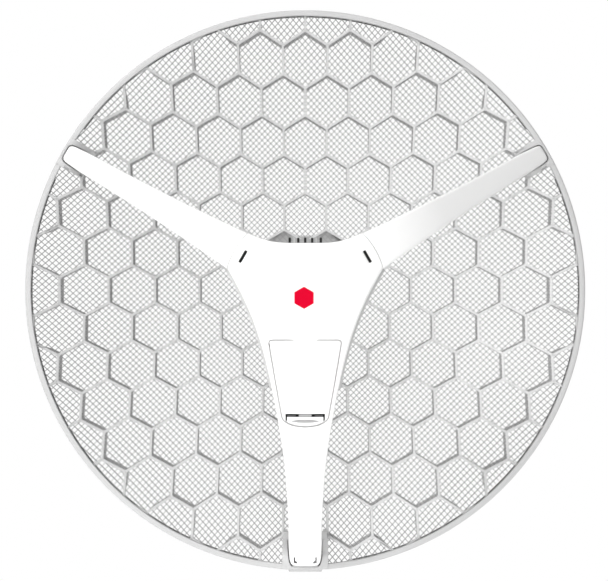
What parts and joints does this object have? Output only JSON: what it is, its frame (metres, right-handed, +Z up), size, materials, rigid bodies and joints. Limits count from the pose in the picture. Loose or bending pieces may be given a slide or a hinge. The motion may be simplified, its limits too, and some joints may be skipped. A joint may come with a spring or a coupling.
{
  "type": "parabolic grid antenna",
  "caption": "Round parabolic grid dish with a white feed unit on three arms, a port door with latch, and a tilting mast clamp mount.",
  "frame": {"origin": "centre of the mast clamp, on the mast's axis", "axes": "+Z up along the mast, -Y the direction the dish looks, +X to the right seen from the front"},
  "size_m": [0.55, 0.3539, 0.5525],
  "materials": {
    "board_green": "satin",
    "bracket_aluminium": "satin",
    "brass_plate": "satin",
    "clear_plastic": "gloss",
    "grey_plastic": "satin",
    "lamp_plastic": "gloss",
    "mesh_wire": "satin",
    "port_plastic": "satin",
    "reflector_plastic": "satin",
    "seal_rubber": "matte",
    "tin_plate": "satin",
    "white_plastic": "satin",
    "zinc_steel": "satin"
  },
  "bodies": {
    "mast_mount": {"mast_bracket": "bracket_aluminium", "tilt_bolt": "zinc_steel", "tilt_washers": "zinc_steel", "tilt_nut": "zinc_steel", "lock_bolt": "zinc_steel", "lock_washers": "zinc_steel", "lock_nut": "zinc_steel", "upper_band": "zinc_steel", "lower_band": "zinc_steel", "upper_worm_housing": "zinc_steel", "lower_worm_housing": "zinc_steel"},
    "reflector": {"reflector_frame": "reflector_plastic", "reflector_mesh": "mesh_wire", "hub_bracket": "bracket_aluminium", "hub_screws": "zinc_steel", "feed_front_cover": "white_plastic", "feed_back_cover": "grey_plastic", "housing_gasket": "seal_rubber", "door_gasket": "seal_rubber", "door_hinge_pin": "zinc_steel", "upper_left_arm": "white_plastic", "upper_right_arm": "white_plastic", "lower_arm_cover": "grey_plastic", "cable_grommet": "seal_rubber", "main_board": "board_green", "board_screws": "zinc_steel", "cover_screws": "zinc_steel", "rf_shield": "tin_plate", "feed_patch": "brass_plate", "feed_spacers": "zinc_steel", "ethernet_jack": "port_plastic", "status_leds": "lamp_plastic", "light_guide": "clear_plastic", "reset_switch_body": "port_plastic"},
    "door": {"service_door": "white_plastic"},
    "latch": {"door_latch": "grey_plastic"},
    "reset": {"reset_button": "grey_plastic"},
    "upper_worm": {"upper_worm_screw": "zinc_steel"},
    "lower_worm": {"lower_worm_screw": "zinc_steel"}
  },
  "joints": [
    {"name": "elevation_tilt", "type": "hinge", "parent": "mast_mount", "child": "reflector", "pos_m": [0, -0.057, 0], "axis": [1, 0, 0], "range_deg": [-20, 20]},
    {"name": "door_hinge", "type": "hinge", "parent": "reflector", "child": "door", "pos_m": [0, -0.315, -0.0412], "axis": [-1, 0, 0], "range_deg": [0, 100]},
    {"name": "latch_press", "type": "hinge", "parent": "door", "child": "latch", "pos_m": [0, -0.2932, -0.1126], "axis": [-1, 0, 0], "range_deg": [0, 12], "stiffness_Nm_per_rad": 0.02},
    {"name": "reset_press", "type": "slide", "parent": "reflector", "child": "reset", "axis": [0, 1, 0], "range_m": [0, 0.0004], "stiffness_N_per_m": 500},
    {"name": "upper_worm_turn", "type": "hinge", "parent": "mast_mount", "child": "upper_worm", "pos_m": [0, 0.0311, 0.03], "axis": [1, 0, 0], "continuous": true},
    {"name": "lower_worm_turn", "type": "hinge", "parent": "mast_mount", "child": "lower_worm", "pos_m": [0, 0.0311, -0.03], "axis": [1, 0, 0], "continuous": true}
  ]
}
